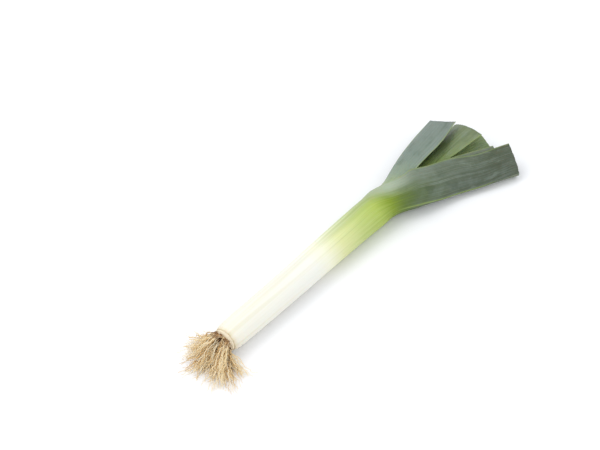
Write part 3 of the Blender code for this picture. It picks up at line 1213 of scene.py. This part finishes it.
@dataclass
class RootTuft:
    """All the roots, in bundles that fan out of the plate and settle on the surface."""

    shaft: Shaft = field(default_factory=Shaft)
    bundles: tuple[Bundle, ...] = (
        Bundle(-9.2, -2.5, -76, 46),
        Bundle(-6.4, -7.0, -50, 53),
        Bundle(-6.2, 7.0, -30, 58),
        Bundle(0.4, -9.4, -11, 43),
        Bundle(0.0, 0.2, 6, 52),
        Bundle(3.6, 8.8, 24, 46),
        Bundle(7.4, -5.6, 46, 41),
        Bundle(9.4, 2.6, 74, 36),
    )
    plate: float = 6.0
    roots: int = 58
    points: int = 36
    short_roots: int = 110
    short_points: int = 14
    short_reach: float = 15.0
    short_sag: float = 3.0
    depth: float = 1.5
    short_depth: float = 3.0
    lead: float = 11.5
    settling: float = 20.0
    settling_height: float = 5.3
    lying_height: float = 1.1

    def path(self, bundle: Bundle) -> list[Vector]:
        """The middle line of a bundle: straight out of the plate, over and down onto the surface.

        Args:
            bundle: The bundle.

        Returns:
            Points along it, in the leek's own coordinates.
        """
        middle, out, left = self.shaft.root_end()
        start = middle + out * (self.plate - self.depth) + left * bundle.left + UP * bundle.up
        bearing = math.radians(bundle.bearing)
        away = out * math.cos(bearing) + left * math.sin(bearing)
        end = middle + out * self.plate + away * bundle.reach
        end.z = self.lying_height
        lead = start + out * self.lead + left * 0.9 * bundle.left + UP * 0.5 * bundle.up
        settle = end - away * self.settling
        settle.z = self.settling_height
        path = []
        for i in range(self.points):
            t = i / (self.points - 1)
            u = 1 - t
            path.append(start * u**3 + lead * 3 * t * u**2 + settle * 3 * t**2 * u + end * t**3)
        return path

    def short_path(self) -> list[Vector]:
        """The middle line of the short roots, which sags a little on its way out of the plate.

        Returns:
            Points along it, in the leek's own coordinates.
        """
        middle, out, _ = self.shaft.root_end()
        steps = [i / (self.short_points - 1) for i in range(self.short_points)]
        start = self.plate - self.short_depth
        return [middle + out * (start + self.short_reach * t) - UP * self.short_sag * t for t in steps]

    def spray(
        self, tree: bpy.types.NodeTree, name: str, path: list[Vector], sizes: dict[str, float],
        values: dict[str, object],
    ) -> bpy.types.Object:
        """Grows thin roots round one line.

        Args:
            tree: The tree that grows a spray of roots.
            name: The piece's name.
            path: The line's points, in millimetres in the row frame.
            sizes: The spray's own sizes, in millimetres.
            values: Its other values.

        Returns:
            The roots as one mesh.
        """
        curve = bpy.data.curves.new("root_line", "CURVE")
        curve.dimensions = "3D"
        spline = curve.splines.new("POLY")
        spline.points.add(len(path) - 1)
        for point, place in zip(spline.points, path):
            point.co = (*(place * MM), 1)
        holder = place_object("root_line", curve)
        _, out, left = self.shaft.root_end()
        sizes = {label: size * MM for label, size in sizes.items()}
        grow(holder, tree, {**values, **sizes, "Left": left, "Out": out})
        return plain_mesh(holder, name)

    def make(self, shift: Vector) -> list[bpy.types.Object]:
        """Builds every bundle as a spray of separate thin roots, and the short roots of the plate's face.

        Args:
            shift: From the leek's own coordinates to the row frame.

        Returns:
            The finished pieces.
        """
        material = RootFinish().make()
        tree = spray_tree()
        sizes = {"Start Spread": 4.6, "End Spread": 15.0, "Wave": 9.0, "Thickness": 0.42}
        pieces = []
        for number, bundle in enumerate(self.bundles, 1):
            path = [place + shift for place in self.path(bundle)]
            values = {"Roots": self.roots, "Seed": 40 + 7 * number, "Material": material}
            piece = self.spray(tree, f"root_threads_{number}", path, sizes, values)
            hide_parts(f"root_bundle_{number}")
            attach(piece, "root")
            pieces.append(piece)
        path = [place + shift for place in self.short_path()]
        sizes = {"Start Spread": 11.5, "End Spread": 17.0, "Wave": 7.0, "Thickness": 0.44}
        values = {"Roots": self.short_roots, "Seed": 17, "Material": material}
        piece = self.spray(tree, "short_roots", path, sizes, values)
        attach(piece, "root")
        return [*pieces, piece]


def spray_tree() -> bpy.types.NodeTree:
    """Builds the tree that turns one line into a spray of thin, wavy roots that lie on the surface.

    Returns:
        The tree.
    """
    inputs = {
        "Roots": "Int", "Seed": "Int", "Start Spread": "Float", "End Spread": "Float", "Wave": "Float",
        "Thickness": "Float", "Left": "Vector", "Out": "Vector", "Material": "Material",
    }
    bench, given = growth_tree("root_spray", inputs)
    copies = bench.node(
        "GeometryNodeDuplicateElements", {"Geometry": given.outputs[0], "Amount": given.outputs["Roots"]},
        domain="SPLINE",
    )
    number = copies.outputs["Duplicate Index"]
    start_spread, end_spread = given.outputs["Start Spread"], given.outputs["End Spread"]

    def chance(low: float, high: float, more: int) -> bpy.types.NodeSocket:
        """A random number for each root.

        Args:
            low: The least that it may be.
            high: The most.
            more: What tells this draw from the others.

        Returns:
            The number's socket.
        """
        made = bench.node("FunctionNodeRandomValue", {2: low, 3: high, "ID": number}, data_type="FLOAT")
        bench.feed(made.inputs["Seed"], bench.plus(given.outputs["Seed"], float(more)))
        return made.outputs[1]

    part = bench.node("GeometryNodeSplineParameter").outputs["Factor"]
    start_left = bench.times(chance(-1, 1, 1), start_spread)
    start_up = bench.times(chance(-1, 1, 2), start_spread)
    fan = bench.math("POWER", part, 1.3)
    end_left = bench.times(bench.times(chance(-1, 1, 3), fan), end_spread)
    end_out = bench.times(bench.times(chance(-0.7, 0.5, 4), fan), end_spread)
    end_up = bench.times(bench.times(chance(-0.3, 0.8, 5), part), end_spread)
    sag = bench.math("SUBTRACT", 1.0, bench.times(part, 0.55))
    end_up = bench.times(end_up, sag)
    left = bench.vector_math("SCALE", given.outputs["Left"], scale=bench.plus(start_left, end_left))
    out = bench.vector_math("SCALE", given.outputs["Out"], scale=end_out)
    up = bench.vector(0.0, 0.0, bench.plus(start_up, end_up))
    pace, lane = bench.times(part, chance(1.6, 3.4, 6)), bench.times(number, 5.3)
    spot = bench.vector(pace, lane, bench.times(given.outputs["Seed"], 0.71))
    curl = bench.noise(spot, 1.0, 2.0, 0.55)
    centred = bench.vector_math("SUBTRACT", curl.outputs["Color"], (0.5, 0.5, 0.5))
    grip = bench.times(bench.rise(part, 0.0, 0.35), given.outputs["Wave"])
    wave = bench.vector_math("SCALE", centred, scale=bench.times(grip, 2.0))
    kink = bench.noise(bench.vector_math("MULTIPLY", spot, (4.5, 1.0, 1.0)), 1.0, 1.0)
    centred = bench.vector_math("SUBTRACT", kink.outputs["Color"], (0.5, 0.5, 0.5))
    kinks = bench.vector_math("SCALE", centred, scale=bench.times(grip, 0.6))
    wave = bench.vector_math("ADD", wave, kinks)
    level, raised = bench.vector_math("ADD", left, out), bench.vector_math("ADD", up, wave)
    offset = bench.vector_math("ADD", level, raised)
    moved = bench.node("GeometryNodeSetPosition", {"Geometry": copies.outputs[0], "Offset": offset})
    width = bench.times(given.outputs["Thickness"], chance(0.6, 1.25, 7))
    width = bench.times(width, bench.math("SUBTRACT", 1.0, bench.times(part, 0.62)))
    place = bench.node("ShaderNodeSeparateXYZ", {0: bench.node("GeometryNodeInputPosition").outputs[0]})
    height = bench.math("MAXIMUM", place.outputs[2], bench.plus(width, 0.0001))
    held = bench.vector(place.outputs[0], place.outputs[1], height)
    laid = bench.node("GeometryNodeSetPosition", {"Geometry": moved.outputs[0], "Position": held})
    named = laid.outputs[0]
    for label, value in (("tone", chance(0, 1, 8)), ("reach", part)):
        feeds = {"Geometry": named, "Name": label, "Value": value}
        kept = bench.node("GeometryNodeStoreNamedAttribute", feeds, data_type="FLOAT", domain="POINT")
        named = kept.outputs[0]
    sized = bench.node("GeometryNodeSetCurveRadius", {"Curve": named, "Radius": width})
    feeds = {"Curve": sized.outputs[0], "End": chance(0.6, 1.0, 9)}
    trimmed = bench.node("GeometryNodeTrimCurve", feeds, mode="FACTOR")
    ring = bench.node("GeometryNodeCurvePrimitiveCircle", {"Resolution": 6, "Radius": 1.0})
    solid = bench.node("GeometryNodeCurveToMesh", {
        "Curve": trimmed.outputs[0], "Profile Curve": ring.outputs[0], "Fill Caps": True,
        "Scale": bench.node("GeometryNodeInputRadius").outputs[0],
    })
    smooth = bench.node("GeometryNodeSetShadeSmooth", {"Geometry": solid.outputs[0]})
    finish_tree(bench, smooth.outputs[0], given.outputs["Material"])
    return bench.tree


# --------------------------------------------------------------------------------------------------------
# Studio
# --------------------------------------------------------------------------------------------------------


@dataclass(frozen=True)
class Panel:
    """A square light: its place and side in metres, and its power in watts."""

    name: str
    place: tuple[float, float, float]
    size: float
    power: float

    def make(self) -> None:
        """Hangs the light so that it faces the leek."""
        light = bpy.data.lights.new(self.name, "AREA")
        light.shape, light.size, light.energy = "SQUARE", self.size, self.power
        lamp = place_object(self.name, light)
        lamp.location = self.place
        lamp.rotation_euler = (-Vector(self.place)).to_track_quat("-Z", "Y").to_euler()


@dataclass
class Studio:
    """The white surface, the soft lights and the camera."""

    target: tuple[float, float, float] = (-0.0175, 0.0495, 0.0192)
    azimuth: float = -36.0
    elevation: float = 50.0
    lens: float = 400.0
    sensor: float = 36.0
    view_width: float = 0.690
    floor_half: float = 4.0
    surround: tuple[float, float, float] = (0.96, 0.98, 1.0)
    surround_strength: float = 0.95
    panels: tuple[Panel, ...] = (
        Panel("key", (-0.50, 0.66, 1.75), 1.1, 11.2),
        Panel("fill", (0.9, -1.2, 1.3), 1.6, 3.4),
    )

    def make(self) -> None:
        """Builds the whole studio."""
        self.floor()
        self.lights()
        self.camera()

    def floor(self) -> None:
        """A large flat surface that the leek lies on."""
        shape = bmesh.new()
        bmesh.ops.create_grid(shape, x_segments=2, y_segments=2, size=self.floor_half)
        mesh = bpy.data.meshes.new("floor")
        shape.to_mesh(mesh)
        shape.free()
        mesh.materials.append(FloorFinish().make())
        floor = place_object("floor", mesh)

    def lights(self) -> None:
        """An even white surround, a large soft light from the upper left and a weaker one opposite."""
        world = bpy.data.worlds.new("studio")
        world.use_nodes = True
        background = world.node_tree.nodes["Background"]
        background.inputs["Color"].default_value = (*self.surround, 1)
        background.inputs["Strength"].default_value = self.surround_strength
        bpy.context.scene.world = world
        for panel in self.panels:
            panel.make()

    def camera(self) -> None:
        """A long lens that looks down on the leek from the front right."""
        data = bpy.data.cameras.new("camera")
        data.lens, data.sensor_width = self.lens, self.sensor
        data.clip_start, data.clip_end = 0.05, 50.0
        camera = place_object("camera", data)
        turn, rise = math.radians(self.azimuth), math.radians(self.elevation)
        back = Vector((math.sin(turn) * math.cos(rise), -math.cos(turn) * math.cos(rise), math.sin(rise)))
        distance = self.view_width * self.lens / self.sensor
        camera.location = Vector(self.target) + back * distance
        camera.rotation_euler = (-back).to_track_quat("-Z", "Y").to_euler()
        bpy.context.scene.camera = camera
        bpy.context.scene.view_settings.view_transform = "Standard"


# --------------------------------------------------------------------------------------------------------
# The leek
# --------------------------------------------------------------------------------------------------------

PALE: Stops = (
    (0, (226, 208, 172)), (2, (236, 226, 204)), (5, (240, 235, 220)), (20, (239, 236, 224)),
    (140, (238, 237, 228)),
)

OUTER_FRONT = LeafFinish(
    "outer_front_skin",
    PALE + (
        (160, (239, 238, 214)), (186, (218, 221, 160)), (220, (186, 200, 118)), (248, (168, 187, 84)),
        (268, (124, 147, 18)), (284, (91, 113, 28)), (300, (80, 99, 52)), (345, (85, 97, 77)),
        (372, (78, 89, 71)), (408, (71, 81, 61)), (436, (80, 89, 73)),
    ),
    PALE + (
        (160, (240, 240, 222)), (186, (224, 228, 190)), (220, (190, 202, 142)), (250, (160, 173, 122)),
        # The pale bluish stop at 276 mm is a painted highlight along the upper shoulder where the leaf
        # curves round, laid over its real waxy bloom.
        (276, (164, 176, 152)), (300, (122, 134, 114)), (336, (97, 109, 91)), (372, (86, 97, 77)),
        (408, (73, 83, 61)), (436, (74, 84, 64)),
    ),
    seed=1.0,
    streak=0.5,
)

OUTER_BACK = LeafFinish(
    "outer_back_skin",
    PALE + (
        (180, (232, 236, 200)), (240, (190, 204, 144)), (276, (156, 172, 126)), (300, (132, 148, 126)),
        (330, (118, 133, 121)), (404, (114, 126, 118)),
    ),
    PALE + (
        (180, (232, 236, 200)), (240, (192, 206, 148)), (276, (160, 176, 128)), (300, (134, 150, 128)),
        (330, (120, 135, 122)), (404, (116, 128, 120)),
    ),
    seed=2.0,
    streak=0.35,
)

SECOND_FRONT = LeafFinish(
    "second_front_skin",
    PALE + ((180, (232, 236, 190)), (250, (182, 198, 122)), (300, (124, 142, 84)), (345, (102, 114, 86)),
            (420, (100, 110, 92))),
    PALE + ((180, (232, 236, 190)), (250, (182, 198, 122)), (300, (128, 146, 90)), (345, (106, 118, 92)),
            (420, (104, 114, 97))),
    seed=3.0,
)

SECOND_BACK = LeafFinish(
    "second_back_skin",
    # From 300 to 345 mm both runs are lighter than the leaf's own green. This is partly its bright green
    # and partly painted light that lifts the shade in the hollow beside the outer back leaf's margin.
    PALE + ((180, (234, 238, 190)), (250, (196, 212, 124)), (300, (164, 188, 92)), (345, (138, 160, 82)),
            (380, (113, 129, 82)), (420, (111, 122, 91))),
    PALE + ((180, (234, 238, 190)), (250, (196, 212, 124)), (300, (166, 190, 94)), (345, (140, 162, 86)),
            (380, (116, 132, 86)), (420, (114, 125, 94))),
    seed=4.0,
    edge_tone=(140, 166, 80),
)

HEART = LeafFinish(
    "heart_skin",
    PALE + ((190, (238, 242, 182)), (260, (206, 220, 120)), (310, (166, 192, 80)), (360, (130, 158, 64)),
            (420, (116, 134, 84))),
    PALE + ((190, (238, 242, 182)), (260, (206, 220, 120)), (310, (166, 192, 80)), (360, (134, 158, 78)),
            (420, (118, 136, 90))),
    seed=5.0,
    edge_tone=(146, 174, 72),
)


def leaves() -> list[Leaf]:
    """The five leaves, from the outermost inwards.

    Returns:
        The leaves, with their sections in the leek's own coordinates.
    """
    return [
        Leaf("outer_front_leaf", "outer_leaf", 0, KeelSide.FRONT, 250, 0, (
            Section(275, 272.2, 36.8, 0.0, Half(90, 206.5, 1.0, 41.3), Half(90, 206.5, 1.0, 41.3)),
            Section(304, 300.0, 29.8, 0.0, Half(96, 183, 1.6, 47), Half(97, 184, 1.8, 45)),
            Section(330, 326.0, 26.0, 0.0, Half(104, 178, 1.5, 46), Half(110, 183, 2.2, 40)),
            Section(356, 351.0, 22.8, 0.0, Half(110, 174, 1.4, 45), Half(118, 182, 2.6, 36)),
            Section(390, 384.0, 15.0, 0.0, Half(118, 168, 1.2, 39), Half(108, 183, 2.6, 31)),
            Section(430, 424.0, 7.4, 0.4, Half(122, 158, 1.2, 35.5), Half(58, 180, 1.7, 21)),
        ), OUTER_FRONT),
        Leaf("outer_back_leaf", "outer_leaf", 1.14, KeelSide.BACK, 259, 4, (
            Section(282, 274.8, 76.1, 2.66, Half(90, 199, 1.0, 32.8), Half(90, 199, 1.0, 33.4)),
            Section(308, 297.4, 88.8, 2.6, Half(100, 181, 1.7, 37.6), Half(98, 181, 1.8, 39.6)),
            Section(336, 320.3, 100.5, 1.6, Half(117, 181, 1.5, 38.5), Half(102, 176, 1.6, 40)),
            Section(368, 349.3, 111.6, 1.0, Half(126, 174, 1.4, 43.5), Half(104, 164, 1.4, 37)),
            Section(404, 381.4, 122.6, 1.0, Half(138, 166, 1.3, 37), Half(106, 152, 1.3, 32)),
        ), OUTER_BACK, crown=3.4),
        Leaf("second_front_leaf", "inner_leaf", 2.25, KeelSide.FRONT, 266, 0, (
            Section(289, 285.5, 43.6, 5.12, Half(90, 196, 1.0, 27.05), Half(90, 198, 1.0, 27.05)),
            Section(308, 304.0, 38.0, 4.8, Half(100, 182, 1.8, 33), Half(98, 182, 1.8, 33)),
            Section(332, 328.0, 34.0, 3.4, Half(107, 181, 1.5, 38), Half(112, 184, 2.2, 32)),
            Section(358, 353.5, 30.5, 2.4, Half(114, 174, 1.3, 38), Half(120, 183, 2.6, 30)),
            Section(414, 409.0, 19.0, 2.6, Half(124, 163, 1.2, 33), Half(106, 181, 2.2, 25)),
        ), SECOND_FRONT),
        Leaf("second_back_leaf", "inner_leaf", 3.26, KeelSide.BACK, 276, -6, (
            Section(297, 290.5, 71.8, 7.9, Half(90, 194, 1.0, 21.0), Half(90, 196, 1.0, 21.4)),
            Section(316, 309.0, 77.0, 7.2, Half(104, 184, 1.7, 26), Half(104, 182, 1.6, 24)),
            Section(344, 336.0, 83.5, 6.4, Half(124, 184, 1.4, 30), Half(120, 180, 1.6, 19)),
            Section(360, 352.0, 87.5, 5.6, Half(128, 184, 1.4, 29), Half(120, 176, 1.5, 23)),
            Section(380, 372.0, 94.0, 4.8, Half(127, 178, 1.3, 41), Half(120, 170, 1.4, 27)),
            Section(410, 402.0, 102.2, 4.0, Half(130, 175, 1.3, 49.6), Half(118, 162, 1.3, 30)),
        ), SECOND_BACK),
        Leaf("heart_leaf", "heart_leaf", 4.4, KeelSide.FRONT, 286, -4, (
            Section(312, 308.0, 51.2, 10.2, Half(98, 200, 1.0, 16.6), Half(98, 200, 1.0, 16.6)),
            Section(344, 340.0, 46.5, 6.6, Half(122, 180, 1.4, 22), Half(124, 182, 1.8, 19)),
            Section(372, 368.0, 43.0, 5.4, Half(128, 176, 1.3, 27), Half(126, 180, 1.6, 21)),
            Section(420, 415.0, 38.0, 4.8, Half(132, 168, 1.2, 33), Half(128, 178, 1.6, 23)),
        ), HEART, wall=6.4),
    ]


def frame_shift(leaf: Leaf) -> Vector:
    """From the leek's own coordinates to the row frame, found from where a leaf's CAD node lies.

    Args:
        leaf: The leaf to compare.

    Returns:
        The shift in millimetres.
    """
    points = [point for along in leaf.stations() for point in leaf.row(along)]
    low = Vector(min(point[axis] for point in points) for axis in range(3))
    high = Vector(max(point[axis] for point in points) for axis in range(3))
    cad_low, cad_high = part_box(leaf.name)
    shift = ((cad_low + cad_high) / MM - low - high) / 2
    shift.z = cad_low.z / MM - low.z
    return shift


def main() -> None:
    """Builds the leek and its studio, and notes each piece."""
    logging.basicConfig(level=logging.INFO, format="%(name)s: %(message)s")
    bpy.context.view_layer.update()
    grown = leaves()
    shift = frame_shift(grown[0])
    LOG.info("own coordinates sit at %.2f %.2f %.2f mm in the row frame", *shift)
    ribs, cut = rib_tree(), CutFinish().make()
    pieces = [leaf.make(ribs, cut, shift) for leaf in grown]
    pieces += RootPlate().make(shift)
    pieces += RootTuft().make(shift)
    for piece in pieces:
        LOG.info("%s: %d faces", piece.name, len(piece.data.polygons))
    Studio().make()


if __name__ == "__main__":
    main()
